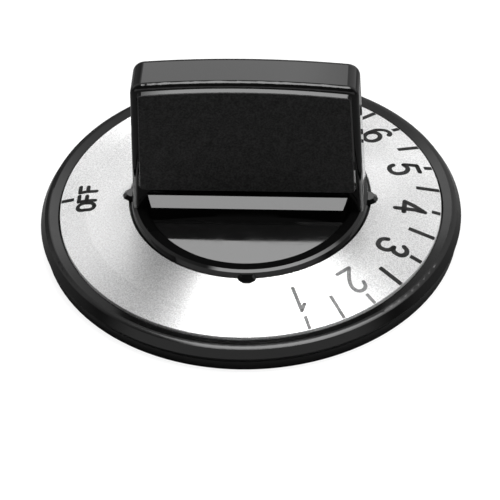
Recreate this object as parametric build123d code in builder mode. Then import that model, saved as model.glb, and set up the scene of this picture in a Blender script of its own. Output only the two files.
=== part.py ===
"""Bar-grip thermostat knob with a bevelled aluminium dial, for the shaft of an oven or griddle control.

Three pieces: a moulded black body (skirt, boss and grip in one), a satin aluminium dial plate
keyed on four lugs of the boss, and a spring-steel leaf that holds the knob on its D-shaped shaft.
The origin is on the shaft axis in the plane of the skirt's foot, and +Z runs out along the shaft
to the grip. The grip lies along X. Millimetres.
"""

import os
from math import atan2, cos, radians, sin, sqrt, tan

from build123d import *

os.makedirs("parts", exist_ok=True)

# Dial plate: sheet aluminium, bevelled at the scale marks and flatter towards the boss
dial_radius = 27.15
dial_edge_height = 3.8
dial_bevel_width = 3.6
dial_bevel_rise = 1.0
dial_crown_rise = 0.65
dial_thickness = 0.6
dial_gap = 0.15
dial_rim_gap = 0.3

# Skirt: the wall that stands on the panel, and the bead round the dial with its rounded shoulder
bead_width = 2.55
bead_crest = 3.8
bead_round = 1.4
bead_round_sweep = 33.0
bead_lip_drop = 0.25
bead_overhang = 0.5
bead_undercut = 1.0
skirt_wall = 2.2
shell_wall = 1.9

# Boss: the ring round the finger wells, with a shallow and a steep bevel outside and one bevel inside
boss_radius = 17.1
boss_wall = 2.5
boss_shoulder = 0.45
boss_shoulder_slope = 25.0
boss_side = 0.4
boss_side_slope = 65.0
boss_bevel = 0.4
boss_crest_over_dial = 0.8
boss_foot = 1.0

# Rounded lugs that key the dial to the boss; one is off the square, so that the dial goes on one way
lug_radius = 1.35
lug_sides = 10
lug_set_in = 0.35
lug_over_dial = 0.45
lug_bevel = 0.42
lug_clearance = 0.1
lug_angles = (0, 90, 180, 272)

# Finger wells: sloping floors on both sides of the grip, with a bevelled plinth between them
floor_slope = 17.5
floor_below_crest = 0.4
floor_wall = 2.0
plinth_half = 5.75
plinth_bevel = 30.0
plinth_over_crest = 1.85

# Grip: a blade that tapers to a crowned top, with a raised finger pad on each face
knob_height = 28.35
grip_width_foot = 32.5
grip_width_top = 31.25
grip_half_foot = 3.8
grip_half_top = 3.05
grip_crown = 0.85
grip_corner = 1.8
grip_edge = 0.9
pad_proud = 0.6
pad_side = 0.9
pad_top = 0.8
pad_foot_gap = 0.6
pad_draft = 30.0
pad_corner = 0.8

# Cores that keep the grip's walls even, open from below
core_inner = 7.2
core_outer = 13.4
core_wall = 2.0
core_roof = 5.0
core_draft = 3.5

# Hub and shaft socket: a round lead-in, then a D with its flat towards +Y
hub_radius = 6.3
hub_face = 0.8
lead_in_radius = 3.6
lead_in_depth = 4.0
socket_radius = 3.2
socket_flat = 2.4
socket_depth = 7.2

# Spring leaf in its slot behind the flat
leaf_width = 2.7
leaf_thickness = 0.35
leaf_length = 6.4
leaf_bow = 0.5
leaf_play = 0.05

# Stiffening ribs on the hidden side
rib_thickness = 1.4
skirt_rib_count = 6
boss_rib_count = 4
rib_bite = 0.4

# Heights and radii that follow from the sizes above
dial_bore = boss_radius + dial_gap
dial_bend = dial_radius - dial_bevel_width
dial_bevel_slope = dial_bevel_rise / dial_bevel_width
dial_crown_slope = dial_crown_rise / (dial_bend - dial_bore)
dial_drop = dial_thickness / cos(atan2(dial_bevel_slope, 1))
bead_inner = dial_radius + dial_rim_gap
bead_outer = bead_inner + bead_width
bead_brow = bead_outer - bead_round * (1 - sin(radians(bead_round_sweep)))
skirt_radius = bead_outer - bead_overhang
skirt_inner = skirt_radius - skirt_wall
boss_inner = boss_radius - boss_wall


def dial_top(radius):
    """Height of the dial's upper face at a radius."""
    if radius > dial_bend:
        return dial_edge_height + (dial_radius - radius) * dial_bevel_slope
    return dial_edge_height + dial_bevel_rise + (dial_bend - radius) * dial_crown_slope


def seat(radius):
    """Height of the face that the dial lies on, at a radius."""
    return dial_top(radius) - dial_drop


def underside(radius):
    """Height of the hidden cone below the dial's seat, at a radius."""
    fall = (seat(boss_radius) - seat(skirt_inner)) / (skirt_inner - boss_radius)
    return seat(skirt_inner) - shell_wall + (skirt_inner - radius) * fall


boss_crest = dial_top(dial_bore) + boss_crest_over_dial
boss_brow = boss_crest - boss_shoulder * tan(radians(boss_shoulder_slope))
boss_spring = boss_brow - boss_side * tan(radians(boss_side_slope))
floor_top = boss_crest - floor_below_crest
plinth_top = boss_crest + plinth_over_crest
grip_foot = plinth_top + (plinth_half - grip_half_foot) * tan(radians(plinth_bevel))
grip_side_slope = (grip_half_foot - grip_half_top) / (knob_height - grip_foot)
grip_end_slope = (grip_width_foot - grip_width_top) / 2 / (knob_height - grip_foot)
web_underside = floor_top - floor_wall + (plinth_half - grip_half_foot) * tan(radians(floor_slope))


def grip_half(height):
    """Half the blade's thickness at a height."""
    return grip_half_foot + (grip_foot - height) * grip_side_slope


def grip_end(height):
    """Half the blade's width at a height."""
    return grip_width_foot / 2 + (grip_foot - height) * grip_end_slope


def well_floor(reach):
    """Height of a finger well's floor at a distance from the grip's middle plane."""
    return floor_top - (reach - plinth_half) * tan(radians(floor_slope))


# Skirt shell and boss ring, turned as one profile
with BuildPart() as shell:
    bead_spring = bead_crest - bead_round
    bead_brow_height = bead_spring + bead_round * cos(radians(bead_round_sweep))
    with BuildSketch(Plane.XZ):
        with BuildLine():
            Polyline(
                (bead_outer, bead_spring),
                (skirt_radius, bead_spring - bead_undercut),
                (skirt_radius, 0),
                (skirt_inner, 0),
                (skirt_inner, underside(skirt_inner)),
                (boss_radius, underside(boss_radius)),
                (boss_radius, boss_foot),
                (boss_inner, boss_foot),
                (boss_inner, boss_crest - boss_bevel),
                (boss_inner + boss_bevel, boss_crest),
                (boss_radius - boss_side - boss_shoulder, boss_crest),
                (boss_radius - boss_side, boss_brow),
                (boss_radius, boss_spring),
                (boss_radius, seat(boss_radius)),
                (dial_bend, seat(dial_bend)),
                (bead_inner, seat(bead_inner)),
                (bead_inner, bead_crest - bead_lip_drop),
                (bead_outer - bead_round, bead_crest),
            )
            RadiusArc((bead_outer - bead_round, bead_crest), (bead_brow, bead_brow_height), bead_round)
            Line((bead_brow, bead_brow_height), (bead_outer, bead_spring))
        make_face()
    revolve(axis=Axis.Z)

# Web inside the boss: both well floors and the bevelled plinth, one section trimmed to the ring
with BuildPart() as boss_web:
    web_reach = boss_inner + rib_bite
    with BuildSketch(Plane.YZ):
        with BuildLine():
            Polyline(
                (0, grip_foot),
                (grip_half_foot, grip_foot),
                (plinth_half, plinth_top),
                (plinth_half, floor_top),
                (web_reach, well_floor(web_reach)),
                (web_reach, well_floor(web_reach) - floor_wall),
                (grip_half_foot, web_underside),
                (0, web_underside),
                close=True,
            )
        make_face()
        mirror(about=Plane.YZ)
    extrude(amount=web_reach, both=True)
    with BuildSketch(Plane.XY):
        Circle(boss_inner)
    extrude(amount=knob_height, mode=Mode.INTERSECT)

# Blade of the grip: its tapered side view, cut to its crowned front view
with BuildPart() as blade:
    blade_foot = boss_spring
    with BuildSketch(Plane.YZ):
        with BuildLine():
            Polyline(
                (-grip_half(blade_foot), blade_foot),
                (grip_half(blade_foot), blade_foot),
                (grip_half(knob_height), knob_height),
                (-grip_half(knob_height), knob_height),
                close=True,
            )
        make_face()
    extrude(amount=grip_width_foot, both=True)
    with BuildSketch(Plane.XZ):
        with BuildLine():
            shoulder = knob_height - grip_crown
            Polyline(
                (-grip_end(shoulder), shoulder),
                (-grip_end(blade_foot), blade_foot),
                (grip_end(blade_foot), blade_foot),
                (grip_end(shoulder), shoulder),
            )
            ThreePointArc((grip_end(shoulder), shoulder), (0, knob_height), (-grip_end(shoulder), shoulder))
        front_view = make_face()
        fillet(front_view.vertices().group_by(Axis.Y)[-1], radius=grip_corner)
    extrude(amount=plinth_half, both=True, mode=Mode.INTERSECT)
    faces_of_grip = blade.faces().filter_by(GeomType.PLANE).sort_by(Axis.Y)
    rims = (faces_of_grip[0].edges() + faces_of_grip[-1].edges()).filter_by(
        lambda edge: edge.center().Z > blade_foot + grip_edge
    )
    fillet(rims, radius=grip_edge)

# Finger pads: each stands proud of a blade face, with sloping sides
with BuildPart() as pads:
    pad_low = grip_foot + pad_foot_gap
    pad_high = knob_height - pad_top
    pad_plane = Plane(
        origin=(0, -grip_half(pad_low), pad_low),
        x_dir=(1, 0, 0),
        z_dir=(0, -1, grip_side_slope),
    )
    pad_length = (pad_high - pad_low) / cos(atan2(grip_side_slope, 1))
    pad_end_low = grip_end(pad_low) - pad_side
    pad_end_high = grip_end(pad_high) - pad_side
    with BuildSketch(pad_plane):
        with BuildLine():
            Polyline(
                (-pad_end_high, pad_length - grip_crown),
                (-pad_end_low, 0),
                (pad_end_low, 0),
                (pad_end_high, pad_length - grip_crown),
            )
            ThreePointArc(
                (pad_end_high, pad_length - grip_crown),
                (0, pad_length),
                (-pad_end_high, pad_length - grip_crown),
            )
        outline = make_face()
        fillet(outline.vertices(), radius=pad_corner)
    extrude(amount=pad_proud, taper=pad_draft)
    mirror(about=Plane.XZ)

# Hollows under the grip, one each side of the hub, narrowing upwards
with BuildPart() as cores:
    core_half = grip_half(grip_foot) - core_wall
    core_height = knob_height - core_roof - web_underside
    with BuildSketch(Plane.XY.offset(web_underside)):
        with Locations((-(core_inner + core_outer) / 2, 0), ((core_inner + core_outer) / 2, 0)):
            Rectangle(core_outer - core_inner, 2 * core_half)
    extrude(amount=core_height, taper=core_draft)

# Ribs below the dial seat and below the well floors
with BuildPart() as ribs:
    with BuildSketch(Plane.XZ):
        with BuildLine():
            Polyline(
                (boss_radius - rib_bite, boss_foot),
                (skirt_inner + rib_bite, boss_foot),
                (skirt_inner + rib_bite, underside(skirt_inner) + rib_bite),
                (boss_radius - rib_bite, underside(boss_radius) + rib_bite),
                close=True,
            )
        make_face()
    skirt_rib = extrude(amount=rib_thickness / 2, both=True, mode=Mode.PRIVATE)
    with PolarLocations(0, skirt_rib_count, start_angle=180 / skirt_rib_count):
        add(skirt_rib)
    diagonal = sqrt(2)
    hub_reach = hub_radius - rib_bite
    ring_reach = boss_inner + rib_bite
    with BuildSketch(Plane.XZ):
        with BuildLine():
            Polyline(
                (hub_reach, boss_foot),
                (ring_reach, boss_foot),
                (ring_reach, well_floor(ring_reach / diagonal) - floor_wall + rib_bite),
                (hub_reach, web_underside + rib_bite),
                close=True,
            )
        make_face()
    boss_rib = extrude(amount=rib_thickness / 2, both=True, mode=Mode.PRIVATE)
    with PolarLocations(0, boss_rib_count, start_angle=180 / boss_rib_count):
        add(boss_rib)

# Lugs at the foot of the boss ring, rising through the notches of the dial
lug_centres = [
    ((boss_radius - lug_set_in) * cos(radians(angle)), (boss_radius - lug_set_in) * sin(radians(angle)))
    for angle in lug_angles
]
with BuildPart() as lugs:
    with BuildSketch(Plane.XY.offset(seat(boss_radius) - shell_wall / 2)):
        with Locations(*lug_centres):
            RegularPolygon(lug_radius, lug_sides)
    extrude(amount=shell_wall / 2 + dial_drop + lug_over_dial)
    chamfer(lugs.faces().group_by(Axis.Z)[-1].edges(), length=lug_bevel)

# Body: everything that is moulded in one shot
with BuildPart() as knob_body:
    add(shell.part)
    add(boss_web.part)
    add(blade.part)
    add(pads.part)
    add(ribs.part)
    add(lugs.part)
    with BuildSketch(Plane.XY.offset(hub_face)):
        Circle(hub_radius)
    extrude(amount=web_underside + rib_bite - hub_face)
    add(cores.part, mode=Mode.SUBTRACT)
    with BuildSketch(Plane.XY.offset(hub_face)):
        Circle(lead_in_radius)
    extrude(amount=lead_in_depth, mode=Mode.SUBTRACT)
    socket_mouth = hub_face + lead_in_depth
    with BuildSketch(Plane.XY.offset(socket_mouth)):
        Circle(socket_radius)
        with Locations((0, socket_flat)):
            Rectangle(2 * socket_radius, socket_radius, align=(Align.CENTER, Align.MIN), mode=Mode.SUBTRACT)
    extrude(amount=socket_depth, mode=Mode.SUBTRACT)
    with BuildSketch(Plane.XY.offset(socket_mouth)):
        with Locations((0, socket_flat)):
            Rectangle(
                leaf_width + 2 * leaf_play,
                leaf_bow + leaf_thickness + leaf_play,
                align=(Align.CENTER, Align.MIN),
            )
    extrude(amount=leaf_length + leaf_play, mode=Mode.SUBTRACT)

# Dial plate: a bevelled ring of sheet with a notch for each lug
with BuildPart() as dial_plate:
    with BuildSketch(Plane.XZ):
        with BuildLine():
            Polyline(
                (dial_bore, dial_top(dial_bore)),
                (dial_bend, dial_top(dial_bend)),
                (dial_radius, dial_edge_height),
                (dial_radius, seat(dial_radius)),
                (dial_bend, seat(dial_bend)),
                (dial_bore, seat(dial_bore)),
                close=True,
            )
        make_face()
    revolve(axis=Axis.Z)
    with BuildSketch(Plane.XY):
        with Locations(*lug_centres):
            RegularPolygon(lug_radius + lug_clearance, lug_sides)
    extrude(amount=knob_height, mode=Mode.SUBTRACT)

# Spring leaf: a bowed strip whose belly presses on the shaft's flat
with BuildPart() as shaft_clip:
    leaf_back = socket_flat + leaf_bow + leaf_thickness
    leaf_low = socket_mouth + leaf_play
    leaf_high = leaf_low + leaf_length - leaf_play
    leaf_middle = (leaf_low + leaf_high) / 2
    with BuildSketch(Plane.YZ):
        with BuildLine():
            ThreePointArc((leaf_back, leaf_low), (leaf_back - leaf_bow, leaf_middle), (leaf_back, leaf_high))
            Line((leaf_back, leaf_high), (leaf_back - leaf_thickness, leaf_high))
            ThreePointArc(
                (leaf_back - leaf_thickness, leaf_high),
                (leaf_back - leaf_bow - leaf_thickness, leaf_middle),
                (leaf_back - leaf_thickness, leaf_low),
            )
            Line((leaf_back - leaf_thickness, leaf_low), (leaf_back, leaf_low))
        make_face()
    extrude(amount=leaf_width / 2, both=True)

for name, piece in (("knob_body", knob_body), ("dial_plate", dial_plate), ("shaft_clip", shaft_clip)):
    piece.part.label = name
    export_step(piece.part, f"parts/{name}.step")
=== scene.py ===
# %% [markdown]
# # Thermostat knob
#
# A knob of this kind is one black moulding in phenolic plastic, with a dial plate of thin bevelled
# aluminium laid on its skirt. The solids already hold those forms, so this lesson dresses them: it gives
# every surface its finish, prints the scale on the dial, and sets up the studio. All places are in metres,
# in the frame of the solids, with the foot of the skirt on the floor and the grip pointing up.

# %% load the solids
import math

import bpy
from mathutils import Matrix, Vector


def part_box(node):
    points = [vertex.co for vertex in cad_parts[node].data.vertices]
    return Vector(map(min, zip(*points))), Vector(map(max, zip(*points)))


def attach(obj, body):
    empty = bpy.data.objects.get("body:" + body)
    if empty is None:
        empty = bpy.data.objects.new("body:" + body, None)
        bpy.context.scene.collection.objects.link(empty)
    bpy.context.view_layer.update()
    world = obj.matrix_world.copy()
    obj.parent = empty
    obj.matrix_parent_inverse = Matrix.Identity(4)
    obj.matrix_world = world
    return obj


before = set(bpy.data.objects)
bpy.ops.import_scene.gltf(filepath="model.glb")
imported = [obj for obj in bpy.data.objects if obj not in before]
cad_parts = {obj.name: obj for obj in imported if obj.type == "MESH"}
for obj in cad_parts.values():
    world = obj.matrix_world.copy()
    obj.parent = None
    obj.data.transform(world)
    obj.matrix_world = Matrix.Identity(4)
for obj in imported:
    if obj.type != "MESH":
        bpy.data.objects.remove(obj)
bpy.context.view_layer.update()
MM = 0.001
body_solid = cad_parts["knob_body"]
dial_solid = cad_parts["dial_plate"]
clip_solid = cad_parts["shaft_clip"]
print("solids:", sorted(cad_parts))

# %% [markdown]
# ## The sizes that the finishes follow
#
# The scale has to lie on the slopes of the dial, and the dull finger pads have to end where the pads end.
# Both could be found by looking at the mesh, but a maker works from the drawing: the sizes here, and the
# grip's further on, are the ones the solids were drawn with. The dial's height is read from its box.

# %% sizes from the drawing
dial_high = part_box("dial_plate")[1]
dial_rise = 1.65 * MM
dial_bend = 23.55 * MM
dial_edge_height = dial_high.z - dial_rise
print("dial radius %.2f mm, edge height %.2f mm" % (dial_high.x / MM, dial_edge_height / MM))

# %% [markdown]
# ## Building with nodes
#
# Materials, lamps and the world are built here from nodes in code. Typing every link by hand is long and
# easy to get wrong, so small helpers do it. The first adds a node with its settings and joins it to what
# feeds it, and a plain number stays on its socket. The others stand for what comes back most often: a sum,
# a smooth step between two values, a mix, a grey, a point's place on its piece and its distance from the
# shaft's axis.

# %% node helpers
def add_node(tree, kind, inputs=(), **settings):
    node = tree.nodes.new(kind)
    for name, value in settings.items():
        setattr(node, name, value)
    for socket, value in inputs:
        if isinstance(value, bpy.types.NodeSocket):
            tree.links.new(value, node.inputs[socket])
        else:
            node.inputs[socket].default_value = value
    return node


def calc(tree, operation, first, second=0.0, third=0.0):
    node = add_node(tree, "ShaderNodeMath", ((0, first), (1, second), (2, third)), operation=operation)
    return node.outputs[0]


def spread(tree, value, low, high, out_low=0.0, out_high=1.0):
    node = add_node(tree, "ShaderNodeMapRange",
                    ((0, value), (1, low), (2, high), (3, out_low), (4, out_high)),
                    interpolation_type="SMOOTHSTEP")
    return node.outputs[0]


def mixed(tree, mask, first, second):
    node = add_node(tree, "ShaderNodeMix", ((0, mask), (2, first), (3, second)))
    return node.outputs[0]


print("node helpers ready")

# %% material helpers
def new_material(name):
    material = bpy.data.materials.new(name)
    material.use_nodes = True
    tree = material.node_tree
    return material, tree, tree.nodes["Principled BSDF"]


def grey(tree, level):
    node = add_node(tree, "ShaderNodeCombineColor", ((0, level), (1, level), (2, level)))
    return node.outputs[0]


def place_on_piece(tree):
    coordinates = add_node(tree, "ShaderNodeTexCoord")
    return add_node(tree, "ShaderNodeSeparateXYZ", ((0, coordinates.outputs["Object"]),))


def axis_distance(tree, place):
    squared_x = calc(tree, "MULTIPLY", place.outputs["X"], place.outputs["X"])
    squared = calc(tree, "MULTIPLY_ADD", place.outputs["Y"], place.outputs["Y"], squared_x)
    return calc(tree, "SQRT", squared)


def dress(solid, material):
    solid.data.materials.clear()
    solid.data.materials.append(material)
    print(material.name, "on", solid.name)


print("material helpers ready")

# %% [markdown]
# ## The camera
#
# The camera could be moved about by eye until the picture fits. It is worked out instead, because the rims
# of the dial and the bead are circles: their ellipses in a picture give the height, the turn and the lens.
# The dial's centre is then put where it belongs, a little above the middle of the frame.

# %% where the camera stands
view_target = Vector((0.0, 0.0, dial_edge_height))
view_distance = 400.0 * MM
view_azimuth = math.radians(5.0)
view_elevation = math.radians(41.18)
view_roll = math.radians(2.41)
image_pixels = 500.0
focal_pixels = 2806.0
target_above_centre = 44.85
target_right_of_centre = 0.4

towards_camera = Vector((
    math.sin(view_azimuth) * math.cos(view_elevation),
    -math.cos(view_azimuth) * math.cos(view_elevation),
    math.sin(view_elevation)))
level_right = Vector((math.cos(view_azimuth), math.sin(view_azimuth), 0.0))
level_up = towards_camera.cross(level_right)
camera_up = level_up * math.cos(view_roll) + level_right * math.sin(view_roll)
camera_right = level_right * math.cos(view_roll) - level_up * math.sin(view_roll)
pixel = view_distance / focal_pixels
camera_place = view_target + towards_camera * view_distance
aim_shift = camera_up * (target_above_centre * pixel) + camera_right * (target_right_of_centre * pixel)
aim_point = view_target - aim_shift
print("camera stands at", [round(v / MM, 1) for v in camera_place])

# %% camera
sensor_width = 36.0
near_clip = 10.0 * MM
back = (camera_place - aim_point).normalized()
right = camera_up.cross(back).normalized()
up = back.cross(right)

bpy.ops.object.select_all(action="DESELECT")
bpy.ops.object.camera_add()
camera = bpy.context.object
camera.name = "photo_camera"
camera.data.sensor_width = sensor_width
camera.data.lens = focal_pixels / image_pixels * sensor_width
camera.data.clip_start = near_clip
camera.matrix_world = Matrix((
    (right.x, up.x, back.x, camera_place.x),
    (right.y, up.y, back.y, camera_place.y),
    (right.z, up.z, back.z, camera_place.z),
    (0.0, 0.0, 0.0, 1.0)))
bpy.context.scene.camera = camera
print("camera lens %.1f mm, %.0f mm from the dial" % (camera.data.lens, view_distance / MM))

# %% [markdown]
# ## The lamps
#
# The glossy plastic is a black mirror, so the picture is mostly what it reflects. Many small lamps could
# light the knob, but each would leave its own spot on the bead. Two sheets of light give the long calm
# highlights that moulded phenolic shows: a broad softbox overhead and a panel behind. A real softbox is
# brightest in the middle, so both fade towards their edges, apart from the softbox's front edge, and the
# bead shows soft lines of light.

# %% a lamp with soft edges
def feather(lamp, from_left, from_right, from_low, from_high):
    lamp.data.use_nodes = True
    tree = lamp.data.node_tree
    sheet = add_node(tree, "ShaderNodeNewGeometry")
    place = add_node(tree, "ShaderNodeSeparateXYZ", ((0, sheet.outputs["Parametric"]),))
    edges = (("X", 0.0, from_left), ("X", 1.0, 1.0 - from_right),
             ("Y", 0.0, from_low), ("Y", 1.0, 1.0 - from_high))
    level = 1.0
    for axis, start, end in edges:
        if start != end:
            level = calc(tree, "MULTIPLY", spread(tree, place.outputs[axis], start, end), level)
    tree.links.new(level, tree.nodes["Emission"].inputs["Strength"])


def hang_lamp(name, place, width, height, radiance, fades):
    bpy.ops.object.light_add(type="AREA", location=place)
    lamp = bpy.context.object
    lamp.name = name
    lamp.data.shape = "RECTANGLE"
    lamp.data.size = width
    lamp.data.size_y = height
    lamp.data.energy = radiance * math.pi * width * height
    feather(lamp, *fades)
    print("%s: %.2f W" % (name, lamp.data.energy))
    return lamp


print("lamps fade towards their edges")

# %% softbox
softbox_place = Vector((0.12, 0.0455, 0.50))
softbox_width = 0.58
softbox_depth = 0.32
softbox_radiance = 11.5
softbox_fades = (0.10, 0.48, 0.0, 0.15)

hang_lamp("softbox", softbox_place, softbox_width, softbox_depth, softbox_radiance, softbox_fades)

# %% back panel
panel_distance = 0.60
panel_elevation = math.radians(41.5)
panel_left = 0.06
panel_place = Vector((-panel_left, panel_distance * math.cos(panel_elevation),
                      panel_distance * math.sin(panel_elevation)))
panel_width = 0.44
panel_height = 0.22
panel_radiance = 2.8
panel_fades = (0.35, 0.35, 0.35, 0.35)

panel = hang_lamp("back_panel", panel_place, panel_width, panel_height, panel_radiance, panel_fades)
panel.rotation_euler = (panel_place - view_target).to_track_quat("Z", "Y").to_euler()

# %% [markdown]
# ## The world and the floor
#
# The knob stands on white card. A white world that lit everything would wash the black out, so the world is
# white only where the camera looks straight at it, and a soft fill for the surfaces. In a reflection it is
# a studio: bright at the back, dimmer overhead and at the far left, with a low white strip in front. The
# floor is matt card that throws little light back at the knob. Most of its white is a light of its own that
# only the camera sees, so the shadow under the skirt still shows.

# %% world
world_fill = 0.42
dark_level = 0.06
front_level = 0.95

world = bpy.data.worlds.new("white_surroundings")
bpy.context.scene.world = world
world.use_nodes = True
world_tree = world.node_tree
world_path = add_node(world_tree, "ShaderNodeLightPath")
camera_ray = world_path.outputs["Is Camera Ray"]
seen_directly = calc(world_tree, "MAXIMUM", camera_ray, world_path.outputs["Is Glossy Ray"])
seen_at_all = calc(world_tree, "MAXIMUM", seen_directly, world_path.outputs["Is Transmission Ray"])

world_coordinates = add_node(world_tree, "ShaderNodeTexCoord")
direction = add_node(world_tree, "ShaderNodeSeparateXYZ", ((0, world_coordinates.outputs["Generated"]),))
to_right = direction.outputs["X"]
to_back = direction.outputs["Y"]
to_top = direction.outputs["Z"]
left_level = spread(world_tree, to_back, 0.72, 0.50, 0.20, 0.85)
back_level = spread(world_tree, to_right, -0.25, 0.40, left_level, 1.0)
back_mask = spread(world_tree, to_back, -0.25, 0.50)
bright_back = calc(world_tree, "MULTIPLY_ADD", back_mask, back_level, dark_level)
front_mask = spread(world_tree, to_back, -0.25, -0.60)
low_mask = spread(world_tree, to_top, 0.42, 0.34)
low_front = calc(world_tree, "MULTIPLY", front_mask, low_mask)
mirrored = calc(world_tree, "MULTIPLY_ADD", low_front, front_level, bright_back)

background = mixed(world_tree, camera_ray, mirrored, 1.0)
world_strength = mixed(world_tree, seen_at_all, world_fill, background)
world_background = world_tree.nodes["Background"]
world_background.inputs["Color"].default_value = (1.0, 1.0, 1.0, 1.0)
world_tree.links.new(world_strength, world_background.inputs["Strength"])
print("world fill %.2f" % world_fill)

# %% floor
floor_size = 3.0
floor_gap = 0.02 * MM
card_fibres = 900.0
card_grey = (0.15, 0.17)
card_rough = 0.9
card_lift = 0.86

bpy.ops.object.select_all(action="DESELECT")
bpy.ops.mesh.primitive_plane_add(size=floor_size, location=(0.0, 0.0, -floor_gap))
floor = bpy.context.object
floor.name = "white_card_floor"
bpy.ops.object.transform_apply(location=True, rotation=True, scale=True)

card, card_tree, card_shader = new_material("white_card")
card_coordinates = add_node(card_tree, "ShaderNodeTexCoord")
card_noise = add_node(card_tree, "ShaderNodeTexNoise",
                      (("Vector", card_coordinates.outputs["Object"]), ("Scale", card_fibres),
                       ("Detail", 4.0)))
card_level = spread(card_tree, card_noise.outputs["Fac"], 0.2, 0.8, *card_grey)
card_tree.links.new(grey(card_tree, card_level), card_shader.inputs["Base Color"])
card_shader.inputs["Roughness"].default_value = card_rough
card_shader.inputs["Specular IOR Level"].default_value = 0.0
card_shader.inputs["Emission Color"].default_value = (1.0, 1.0, 1.0, 1.0)
card_path = add_node(card_tree, "ShaderNodeLightPath")
card_glow = calc(card_tree, "MULTIPLY", card_path.outputs["Is Camera Ray"], card_lift)
card_tree.links.new(card_glow, card_shader.inputs["Emission Strength"])
floor.data.materials.append(card)
print("floor %.1f m across" % floor_size)

# %% [markdown]
# ## Effects that more than one finish uses
#
# The real surfaces show a fine grain from the mould or the rolling, and what handling leaves: smudges, hair
# scratches and dust. Each finish could draw its own, but then they would not belong together. They are made
# once as two node groups, and every material sets its own scale and strength.

# %% grain group
coarse_share = 0.22


def new_group(name, inputs, outputs):
    group = bpy.data.node_groups.new(name, "ShaderNodeTree")
    for socket_name, value in inputs:
        socket = group.interface.new_socket(name=socket_name, in_out="INPUT", socket_type="NodeSocketFloat")
        socket.default_value = value
    for socket_name in outputs:
        group.interface.new_socket(name=socket_name, in_out="OUTPUT", socket_type="NodeSocketFloat")
    entry = group.nodes.new("NodeGroupInput")
    result = group.nodes.new("NodeGroupOutput")
    return group, entry, result


grain_group, grain_in, grain_out = new_group(
    "surface_grain", (("Grains per metre", 4000.0),), ("Grain", "Coarse"))
grain_coordinates = add_node(grain_group, "ShaderNodeTexCoord")
coarse_scale = calc(grain_group, "MULTIPLY", grain_in.outputs["Grains per metre"], coarse_share)
fine_noise = add_node(grain_group, "ShaderNodeTexNoise",
                      (("Vector", grain_coordinates.outputs["Object"]),
                       ("Scale", grain_in.outputs["Grains per metre"]),
                       ("Detail", 3.0), ("Roughness", 0.65)))
coarse_noise = add_node(grain_group, "ShaderNodeTexNoise",
                        (("Vector", grain_coordinates.outputs["Object"]),
                         ("Scale", coarse_scale), ("Detail", 4.0), ("Roughness", 0.6)))
for noise, output in ((fine_noise, "Grain"), (coarse_noise, "Coarse")):
    grain_group.links.new(spread(grain_group, noise.outputs["Fac"], 0.3, 0.7), grain_out.inputs[output])
print("group:", grain_group.name)

# %% handling group
dust_per_smudge = 22.0
scratch_direction = (0.5, 0.3, 0.7)
scratch_stretch = (1.0, 26.0, 9.0)

handling_group, handling_in, handling_out = new_group(
    "handling_marks", (("Smudges per metre", 90.0), ("Scratches per metre", 260.0)),
    ("Smudge", "Scratch", "Dust"))
handling_coordinates = add_node(handling_group, "ShaderNodeTexCoord")
smudge_scale = handling_in.outputs["Smudges per metre"]
smudge_noise = add_node(handling_group, "ShaderNodeTexNoise",
                        (("Vector", handling_coordinates.outputs["Object"]), ("Scale", smudge_scale),
                         ("Detail", 5.0), ("Roughness", 0.6), ("Distortion", 0.6)))
scratch_turn = add_node(handling_group, "ShaderNodeMapping",
                        (("Vector", handling_coordinates.outputs["Object"]), ("Rotation", scratch_direction),
                         ("Scale", scratch_stretch)))
scratch_noise = add_node(handling_group, "ShaderNodeTexNoise",
                         (("Vector", scratch_turn.outputs[0]),
                          ("Scale", handling_in.outputs["Scratches per metre"]),
                          ("Detail", 2.0), ("Roughness", 0.5)))
dust_scale = calc(handling_group, "MULTIPLY", smudge_scale, dust_per_smudge)
dust_cells = add_node(handling_group, "ShaderNodeTexVoronoi",
                      (("Vector", handling_coordinates.outputs["Object"]), ("Scale", dust_scale)))
handling_masks = {
    "Smudge": spread(handling_group, smudge_noise.outputs["Fac"], 0.42, 0.68),
    "Scratch": spread(handling_group, scratch_noise.outputs["Fac"], 0.66, 0.74),
    "Dust": spread(handling_group, dust_cells.outputs["Distance"], 0.10, 0.03),
}
for output, mask in handling_masks.items():
    handling_group.links.new(mask, handling_out.inputs[output])
print("group:", handling_group.name)

# %% [markdown]
# ## The black phenolic
#
# The moulding comes out of a polished tool, so it is black and glossy, but the pads that the fingers hold
# are left dull with a fine speckle. Two materials would need the mesh cut up, and the solids must stay as
# they are. So one material finds the pads by place: a point belongs to a pad where it stands proud of the
# tapered face of the grip. Smudges, hair scratches and a trace of dust break the gloss, and the bead at the
# rim, which is rubbed most, is a little duller than the rest.

# %% where the pads and the rim are
grip_foot_height_mm = 9.23
grip_foot_half_mm = 3.8
grip_top_height_mm = 28.35
grip_top_half_mm = 3.05
grip_taper = (grip_foot_half_mm - grip_top_half_mm) / (grip_top_height_mm - grip_foot_height_mm)
pad_foot_mm = 0.5
pad_foot_blend_mm = 0.2
pad_step_mm = 0.42
pad_step_blend_mm = 0.1
rim_start = 27.0 * MM
rim_full = 27.6 * MM

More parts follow.
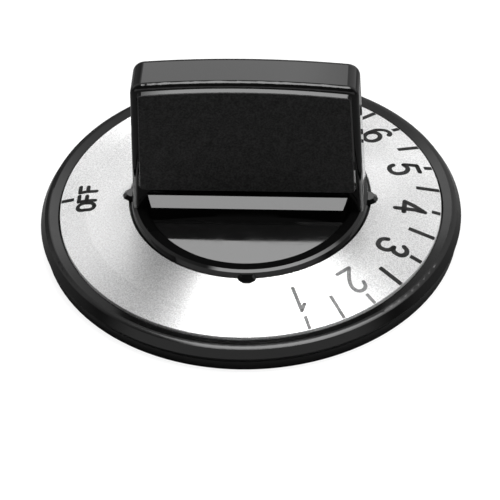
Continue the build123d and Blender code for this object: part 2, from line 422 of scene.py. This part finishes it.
phenolic, phenolic_tree, phenolic_shader = new_material("black_phenolic")
phenolic_place = place_on_piece(phenolic_tree)
height_mm = calc(phenolic_tree, "MULTIPLY", phenolic_place.outputs["Z"], 1.0 / MM)
side = calc(phenolic_tree, "ABSOLUTE", phenolic_place.outputs["Y"])
side_mm = calc(phenolic_tree, "MULTIPLY", side, 1.0 / MM)
above_foot = calc(phenolic_tree, "SUBTRACT", height_mm, grip_foot_height_mm)
face_half = calc(phenolic_tree, "MULTIPLY_ADD", above_foot, -grip_taper, grip_foot_half_mm)
proud = calc(phenolic_tree, "SUBTRACT", side_mm, face_half)
on_grip = spread(phenolic_tree, above_foot, pad_foot_mm, pad_foot_mm + pad_foot_blend_mm)
on_pad = spread(phenolic_tree, proud, pad_step_mm, pad_step_mm + pad_step_blend_mm)
pad_mask = calc(phenolic_tree, "MULTIPLY", on_pad, on_grip)
rim_mask = spread(phenolic_tree, axis_distance(phenolic_tree, phenolic_place), rim_start, rim_full)
print("pads begin %.2f mm proud of the grip's face" % pad_step_mm)

# %% gloss and dull pads
gloss_rough = (0.035, 0.07)
scratch_rough = 0.05
rim_rough = 0.13
pad_rough = (0.66, 0.80)

phenolic_grain = add_node(phenolic_tree, "ShaderNodeGroup", (("Grains per metre", 3600.0),),
                          node_tree=grain_group)
phenolic_marks = add_node(phenolic_tree, "ShaderNodeGroup",
                          (("Smudges per metre", 110.0), ("Scratches per metre", 240.0)),
                          node_tree=handling_group)

smudged = spread(phenolic_tree, phenolic_marks.outputs["Smudge"], 0.0, 1.0, *gloss_rough)
scratched = calc(phenolic_tree, "MULTIPLY_ADD", phenolic_marks.outputs["Scratch"], scratch_rough, smudged)
rubbed = calc(phenolic_tree, "MULTIPLY_ADD", rim_mask, rim_rough, scratched)
dull = spread(phenolic_tree, phenolic_grain.outputs["Coarse"], 0.0, 1.0, *pad_rough)
phenolic_rough = mixed(phenolic_tree, pad_mask, rubbed, dull)
phenolic_tree.links.new(phenolic_rough, phenolic_shader.inputs["Roughness"])
print("roughness: gloss", gloss_rough, "pads", pad_rough)

# %% black phenolic
gloss_black = 0.002
dust_grey = 0.008
pad_grey = (0.0, 0.014)
pad_relief = 0.02 * MM

speckle = spread(phenolic_tree, phenolic_grain.outputs["Grain"], 0.0, 1.0, *pad_grey)
dusty = calc(phenolic_tree, "MULTIPLY_ADD", phenolic_marks.outputs["Dust"], dust_grey, gloss_black)
phenolic_level = mixed(phenolic_tree, pad_mask, dusty, speckle)
phenolic_tree.links.new(grey(phenolic_tree, phenolic_level), phenolic_shader.inputs["Base Color"])

pad_height = calc(phenolic_tree, "MULTIPLY", phenolic_grain.outputs["Grain"], pad_mask)
phenolic_bump = add_node(phenolic_tree, "ShaderNodeBump",
                         (("Height", pad_height), ("Strength", 0.35), ("Distance", pad_relief)))
phenolic_tree.links.new(phenolic_bump.outputs[0], phenolic_shader.inputs["Normal"])
phenolic_shader.inputs["IOR"].default_value = 1.5
phenolic_shader.inputs["Specular IOR Level"].default_value = 0.30
dress(body_solid, phenolic)

# %% [markdown]
# ## The satin aluminium
#
# The dial is stamped from sheet and brushed on a turntable, so its hair lines run round the knob. Lines
# like that stretch a highlight across them, from the bore to the rim, which is why one wedge of the dial is
# white while its neighbours are grey. The lines could be painted on, but only the shader's anisotropy moves
# the white with the light. Its tangent runs round Z, and a quarter turn lays the highlight outwards. A fine
# speckle in roughness and relief keeps the grey from looking like paint.

# %% brushed rings
lines_per_metre = 5500.0
line_rough = (0.38, 0.46)
speckle_rough = 0.12
smudge_rough = 0.05

aluminium, aluminium_tree, aluminium_shader = new_material("satin_aluminium")
aluminium_grain = add_node(aluminium_tree, "ShaderNodeGroup", (("Grains per metre", 5200.0),),
                           node_tree=grain_group)
aluminium_marks = add_node(aluminium_tree, "ShaderNodeGroup",
                           (("Smudges per metre", 70.0), ("Scratches per metre", 200.0)),
                           node_tree=handling_group)
ring_radius = axis_distance(aluminium_tree, place_on_piece(aluminium_tree))
ring_noise = add_node(aluminium_tree, "ShaderNodeTexNoise",
                      (("W", ring_radius), ("Scale", lines_per_metre), ("Detail", 3.0), ("Roughness", 0.7)),
                      noise_dimensions="1D")
ring_lines = ring_noise.outputs["Fac"]
sheet_grain = aluminium_grain.outputs["Grain"]

brushed = spread(aluminium_tree, ring_lines, 0.25, 0.75, *line_rough)
speckled = calc(aluminium_tree, "MULTIPLY_ADD", sheet_grain, speckle_rough, brushed)
handled = calc(aluminium_tree, "MULTIPLY_ADD", aluminium_marks.outputs["Smudge"], smudge_rough, speckled)
aluminium_tree.links.new(handled, aluminium_shader.inputs["Roughness"])
print("brushed with %.1f lines to the millimetre" % (lines_per_metre * MM))

# %% satin aluminium
speckle_grey = (0.66, 0.96)
line_grey = 0.05
line_relief = 0.4
aluminium_relief = 0.01 * MM

sheet_grey = spread(aluminium_tree, sheet_grain, 0.0, 1.0, *speckle_grey)
lined_grey = calc(aluminium_tree, "MULTIPLY_ADD", ring_lines, line_grey, sheet_grey)
aluminium_tree.links.new(grey(aluminium_tree, lined_grey), aluminium_shader.inputs["Base Color"])

sheet_height = calc(aluminium_tree, "MULTIPLY_ADD", ring_lines, line_relief, sheet_grain)
aluminium_bump = add_node(aluminium_tree, "ShaderNodeBump",
                          (("Height", sheet_height), ("Strength", 0.12), ("Distance", aluminium_relief)))
aluminium_tree.links.new(aluminium_bump.outputs[0], aluminium_shader.inputs["Normal"])
brush_path = add_node(aluminium_tree, "ShaderNodeTangent", direction_type="RADIAL", axis="Z")
aluminium_tree.links.new(brush_path.outputs[0], aluminium_shader.inputs["Tangent"])
aluminium_shader.inputs["Metallic"].default_value = 1.0
aluminium_shader.inputs["Anisotropic"].default_value = 1.0
aluminium_shader.inputs["Anisotropic Rotation"].default_value = 0.25
dress(dial_solid, aluminium)

# %% [markdown]
# ## The spring steel
#
# The leaf in the socket is a strip of hardened spring steel, and only the underside shows it. Plain chrome
# would be the quick way, but such strip is darker, with a warmer tint where it has been handled. It uses
# the same grain and marks as the dial.

# %% spring steel
steel_clean = (0.30, 0.30, 0.31, 1.0)
steel_handled = (0.42, 0.40, 0.37, 1.0)
steel_rough = (0.26, 0.42)
steel_relief = 0.01 * MM

steel, steel_tree, steel_shader = new_material("spring_steel")
steel_grain = add_node(steel_tree, "ShaderNodeGroup", (("Grains per metre", 3000.0),), node_tree=grain_group)
steel_marks = add_node(steel_tree, "ShaderNodeGroup",
                       (("Smudges per metre", 300.0), ("Scratches per metre", 500.0)),
                       node_tree=handling_group)
steel_tint = add_node(steel_tree, "ShaderNodeMix",
                      ((0, steel_marks.outputs["Smudge"]), (6, steel_clean), (7, steel_handled)),
                      data_type="RGBA")
steel_tree.links.new(steel_tint.outputs[2], steel_shader.inputs["Base Color"])
strip_rough = spread(steel_tree, steel_grain.outputs["Coarse"], 0.0, 1.0, *steel_rough)
steel_tree.links.new(strip_rough, steel_shader.inputs["Roughness"])
steel_bump = add_node(steel_tree, "ShaderNodeBump",
                      (("Height", steel_marks.outputs["Scratch"]), ("Strength", 0.2),
                       ("Distance", steel_relief)))
steel_tree.links.new(steel_bump.outputs[0], steel_shader.inputs["Normal"])
steel_shader.inputs["Metallic"].default_value = 1.0
dress(clip_solid, steel)

# %% [markdown]
# ## The ink
#
# The scale is printed, a film of black enamel two hundredths of a millimetre thick. It is nearly matt. A
# second, grey ink could do the two figures at the front, but on the knob they are the same print. It is a
# little worn, and it sits in the white wedge of the brushed dial, whose glare greys it. So one material is
# painted grey there, a painted highlight as well as wear: in front of the grip, left of a slanting line
# between 2 and 3.

# %% dial ink
ink_black = 0.003
ink_smudge = 0.006
ink_mottle = 0.008
worn_and_glare_grey = (0.10, 0.18)
ink_rough = (0.45, 0.62)
glare_wedge_slant = (3.5 * MM, 1.5 * MM)
glare_wedge_front = (-5.0 * MM, -10.0 * MM)

ink, ink_tree, ink_shader = new_material("dial_ink")
ink_grain = add_node(ink_tree, "ShaderNodeGroup", (("Grains per metre", 2600.0),), node_tree=grain_group)
ink_marks = add_node(ink_tree, "ShaderNodeGroup", (("Smudges per metre", 160.0),), node_tree=handling_group)
ink_smudged = calc(ink_tree, "MULTIPLY_ADD", ink_marks.outputs["Smudge"], ink_smudge, ink_black)
ink_full = calc(ink_tree, "MULTIPLY_ADD", ink_grain.outputs["Coarse"], ink_mottle, ink_smudged)
# Painted highlight: this grey stands in for the dial's glare over figures 1 and 2, with a little real wear
ink_worn_and_glare = spread(ink_tree, ink_grain.outputs["Grain"], 0.0, 1.0, *worn_and_glare_grey)

ink_place = place_on_piece(ink_tree)
slant = calc(ink_tree, "ADD", ink_place.outputs["X"], ink_place.outputs["Y"])
left_of_slant = spread(ink_tree, slant, *glare_wedge_slant)
at_front = spread(ink_tree, ink_place.outputs["Y"], *glare_wedge_front)
ink_wear_and_glare = calc(ink_tree, "MULTIPLY", left_of_slant, at_front)
ink_level = mixed(ink_tree, ink_wear_and_glare, ink_full, ink_worn_and_glare)
ink_tree.links.new(grey(ink_tree, ink_level), ink_shader.inputs["Base Color"])
film_rough = spread(ink_tree, ink_grain.outputs["Grain"], 0.0, 1.0, *ink_rough)
ink_tree.links.new(film_rough, ink_shader.inputs["Roughness"])
ink_shader.inputs["Specular IOR Level"].default_value = 0.12
print("ink:", ink.name)

# %% [markdown]
# ## The figures
#
# A typed font could give the figures, but these were drawn with a round pen of one width, as on old
# engraved dials. So each figure here is a set of pen strokes on a grid that is 1 high. A round stroke runs
# smoothly through its points, and a sharp one goes straight from point to point.

# %% pen strokes
grid_width = 0.6
pen_strokes = {
    "1": [("sharp", ((0.02, 0.76), (0.22, 1.0), (0.22, 0.0)))],
    "2": [("round", ((0.02, 0.76), (0.10, 0.93), (0.30, 1.0), (0.50, 0.93), (0.57, 0.75), (0.46, 0.50),
                     (0.0, 0.0))),
          ("sharp", ((0.0, 0.0), (0.60, 0.0)))],
    "3": [("round", ((0.03, 0.82), (0.12, 0.95), (0.29, 1.0), (0.48, 0.93), (0.55, 0.77), (0.47, 0.60),
                     (0.28, 0.54))),
          ("round", ((0.28, 0.54), (0.50, 0.47), (0.60, 0.27), (0.51, 0.07), (0.29, 0.0), (0.09, 0.06),
                     (0.0, 0.21)))],
    "4": [("sharp", ((0.44, 0.0), (0.44, 1.0), (0.0, 0.30), (0.62, 0.30)))],
    "5": [("sharp", ((0.55, 1.0), (0.13, 1.0), (0.07, 0.55))),
          ("round", ((0.07, 0.55), (0.28, 0.63), (0.49, 0.55), (0.58, 0.32), (0.49, 0.08), (0.27, 0.0),
                     (0.08, 0.06), (0.0, 0.19)))],
    "6": [("round", ((0.56, 0.86), (0.47, 0.97), (0.32, 1.0), (0.11, 0.86), (0.01, 0.52), (0.02, 0.24),
                     (0.12, 0.06), (0.30, 0.0), (0.50, 0.08), (0.59, 0.29), (0.51, 0.50), (0.31, 0.58),
                     (0.12, 0.50), (0.02, 0.33)))],
    "7": [("sharp", ((0.0, 1.0), (0.58, 1.0), (0.20, 0.0)))],
    "8": [("round", ((0.30, 0.55), (0.10, 0.64), (0.06, 0.80), (0.14, 0.95), (0.30, 1.0), (0.46, 0.95),
                     (0.54, 0.80), (0.50, 0.64), (0.30, 0.55), (0.08, 0.46), (0.0, 0.27), (0.08, 0.07),
                     (0.30, 0.0), (0.52, 0.07), (0.60, 0.27), (0.52, 0.46), (0.30, 0.55)))],
    "O": [("round", ((0.30, 0.0), (0.10, 0.10), (0.02, 0.50), (0.10, 0.90), (0.30, 1.0), (0.50, 0.90),
                     (0.58, 0.50), (0.50, 0.10), (0.30, 0.0)))],
    "F": [("sharp", ((0.0, 0.0), (0.0, 1.0), (0.50, 1.0))),
          ("sharp", ((0.0, 0.52), (0.40, 0.52)))],
}
print("figures drawn:", "".join(pen_strokes))

# %% [markdown]
# ## Laying ink on the dial
#
# On the knob the ink lies on a dial that slopes and bends. A picture mapped on the plate would follow it
# too, but it would blur close up. Here a mark starts as a flat sheet and a figure as tubes cut in half. A
# Shrinkwrap modifier presses them onto the plate, straight down, and Solidify gives them the thickness of a
# film. A mesh only bends where it has points, so straight strokes are drawn in short steps, and long marks
# are cut at the dial's bend.

# %% ink on the dial
ink_thickness = 0.02 * MM
print_height = 8.0 * MM


def select_only(piece):
    bpy.ops.object.select_all(action="DESELECT")
    piece.select_set(True)
    bpy.context.view_layer.objects.active = piece


def lay_on_dial(piece):
    select_only(piece)
    drop = piece.modifiers.new("drop_on_dial", "SHRINKWRAP")
    drop.target = dial_solid
    drop.wrap_method = "PROJECT"
    drop.use_project_z = True
    drop.use_negative_direction = True
    drop.use_positive_direction = False
    drop.offset = ink_thickness
    bpy.ops.object.modifier_apply(modifier=drop.name)
    film = piece.modifiers.new("ink_film", "SOLIDIFY")
    film.thickness = ink_thickness
    film.offset = -1.0
    bpy.ops.object.modifier_apply(modifier=film.name)
    piece.data.materials.clear()
    piece.data.materials.append(ink)
    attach(piece, "root")


print("ink film %.3f mm thick" % (ink_thickness / MM))

# %% one stroke
stroke_steps = 14
ball_segments = 12
ball_rings = 8


def split_line(points, steps):
    knots = [points[0]]
    for (across, along), (next_across, next_along) in zip(points[:-1], points[1:]):
        for step in range(1, steps + 1):
            share = step / steps
            knots.append((across + (next_across - across) * share, along + (next_along - along) * share))
    return knots


def draw_stroke(kind, points, unit_width, unit_height, pen):
    path = bpy.data.curves.new("pen_path", "CURVE")
    path.dimensions = "3D"
    path.resolution_u = stroke_steps
    path.bevel_depth = pen / 2.0
    path.bevel_resolution = 2
    knots = points if kind == "round" else split_line(points, stroke_steps)
    line = path.splines.new("BEZIER")
    line.bezier_points.add(len(knots) - 1)
    for knot, (across, along) in zip(line.bezier_points, knots):
        knot.co = (across * unit_width, along * unit_height, 0.0)
        knot.handle_left_type = "AUTO" if kind == "round" else "VECTOR"
        knot.handle_right_type = knot.handle_left_type
    tube = bpy.data.objects.new("pen_stroke", path)
    bpy.context.collection.objects.link(tube)
    select_only(tube)
    bpy.ops.object.convert(target="MESH")
    stroke = bpy.context.object
    ball_points = points if kind == "sharp" else (points[0], points[-1])
    for across, along in ball_points:
        bpy.ops.mesh.primitive_uv_sphere_add(
            segments=ball_segments, ring_count=ball_rings, radius=pen / 2.0,
            location=(across * unit_width, along * unit_height, 0.0))
        stroke.select_set(True)
        bpy.context.view_layer.objects.active = stroke
        bpy.ops.object.join()
    return stroke


print("a stroke is a tube with a ball at its ends and corners")

# %% one figure
cut_share = 0.02


def draw_figure(name, figure, radius, angle_degrees, width, height, pen, shift=0.0):
    unit_width = width / grid_width
    strokes = [draw_stroke(kind, points, unit_width, height, pen) for kind, points in pen_strokes[figure]]
    piece = strokes[0]
    select_only(piece)
    for stroke in strokes[1:]:
        stroke.select_set(True)
        bpy.ops.object.join()
    piece.name = name
    bpy.ops.object.mode_set(mode="EDIT")
    bpy.ops.mesh.select_all(action="SELECT")
    bpy.ops.mesh.bisect(plane_co=(0.0, 0.0, pen * cut_share), plane_no=(0.0, 0.0, 1.0), clear_inner=True)
    bpy.ops.object.mode_set(mode="OBJECT")
    angle = math.radians(angle_degrees)
    middle = Vector((shift - width / 2.0, -height / 2.0, 0.0))
    stand = Vector((radius * math.cos(angle), radius * math.sin(angle), print_height))
    turn = Matrix.Rotation(angle - math.pi / 2.0, 4, "Z")
    piece.matrix_world = Matrix.Translation(stand) @ turn @ Matrix.Translation(middle)
    bpy.ops.object.transform_apply(location=True, rotation=True, scale=True)
    lay_on_dial(piece)


print("a figure is its strokes, cut in half and laid on the dial")

# %% [markdown]
# ## The printed scale
#
# OFF stands at the left end of the grip, and the numbers 1 to 8 run round the other side in nearly even
# steps, each with its head outwards. An even ring would be easier, but a real print sits a little off
# centre on its plate. So each number has its own angle and radius, and the marks their own lengths. The
# rubbed figures are drawn with a finer pen.

# %% numbers
number_height = 4.2 * MM
number_width = 2.1 * MM
number_pen = 0.70 * MM
rubbed_pen = 0.54 * MM
rubbed_numbers = "12"
number_places = {"1": (-70.3, 22.0), "2": (-47.5, 22.45), "3": (-25.2, 22.6), "4": (-2.8, 22.8),
                 "5": (18.5, 22.9), "6": (40.0, 23.0), "7": (61.3, 22.8), "8": (82.7, 22.8)}

for figure, (angle_degrees, radius_mm) in number_places.items():
    pen = rubbed_pen if figure in rubbed_numbers else number_pen
    draw_figure("number_" + figure, figure, radius_mm * MM, angle_degrees, number_width, number_height, pen)
print("numbers at", number_places)

# %% word
off_angle = 180.0
off_radius = 23.3 * MM
off_height = 2.4 * MM
off_letter = 1.55 * MM
off_pitch = 2.0 * MM
off_pen = 0.60 * MM

for index, letter in enumerate("OFF"):
    draw_figure("word_letter_%d" % (index + 1), letter, off_radius, off_angle, off_letter, off_height,
                off_pen, shift=(index - 1) * off_pitch)
print("word at %.0f degrees" % off_angle)

# %% one mark
mark_width = 0.66 * MM
rubbed_mark_width = 0.50 * MM
mark_outer = 27.1 * MM
mark_corner = 0.12 * MM
corner_steps = 3


def set_mark(name, inner, angle_degrees, width):
    angle = math.radians(angle_degrees)
    middle = (inner + mark_outer) / 2.0
    bpy.ops.object.select_all(action="DESELECT")
    bpy.ops.mesh.primitive_plane_add(size=1.0)
    piece = bpy.context.object
    piece.name = name
    piece.scale = (mark_outer - inner, width, 1.0)
    bpy.ops.object.transform_apply(location=False, rotation=False, scale=True)
    bpy.ops.object.mode_set(mode="EDIT")
    bpy.ops.mesh.select_all(action="SELECT")
    bpy.ops.mesh.bevel(offset=mark_corner, segments=corner_steps, affect="VERTICES")
    if inner < dial_bend:
        bpy.ops.mesh.bisect(plane_co=(dial_bend - middle, 0.0, 0.0), plane_no=(1.0, 0.0, 0.0))
    bpy.ops.object.mode_set(mode="OBJECT")
    piece.rotation_euler = (0.0, 0.0, angle)
    piece.location = (middle * math.cos(angle), middle * math.sin(angle), print_height)
    bpy.ops.object.transform_apply(location=True, rotation=True, scale=True)
    lay_on_dial(piece)


print("marks end %.1f mm from the axis" % (mark_outer / MM))

# %% scale marks
first_mark_angle = -69.2
short_mark_inner_mm = (25.0, 25.3, 25.35, 25.85, 25.9, 25.9, 25.9, 25.9)
long_mark_inner_mm = (23.15, 23.3, 23.3, 23.75, 23.75, 23.4, 23.6)
off_mark_inner_mm = 25.25
rubbed_short_marks = 2
rubbed_long_marks = 1

number_angles = [angle_degrees for angle_degrees, radius_mm in number_places.values()]
mark_angles = [first_mark_angle] + number_angles[1:]
for index, (inner_mm, angle_degrees) in enumerate(zip(short_mark_inner_mm, mark_angles)):
    width = rubbed_mark_width if index < rubbed_short_marks else mark_width
    set_mark("short_mark_%d" % (index + 1), inner_mm * MM, angle_degrees, width)
between_angles = [(before + after) / 2.0 for before, after in zip(mark_angles[:-1], mark_angles[1:])]
for index, (inner_mm, angle_degrees) in enumerate(zip(long_mark_inner_mm, between_angles)):
    width = rubbed_mark_width if index < rubbed_long_marks else mark_width
    set_mark("long_mark_%d" % (index + 1), inner_mm * MM, angle_degrees, width)
set_mark("off_mark", off_mark_inner_mm * MM, off_angle, mark_width)
print("marks:", len(short_mark_inner_mm) + len(long_mark_inner_mm) + 1)

# %% [markdown]
# ## Finish
#
# The last line sets the view transform to Standard.

# %% finish
bpy.context.scene.view_settings.view_transform = "Standard"
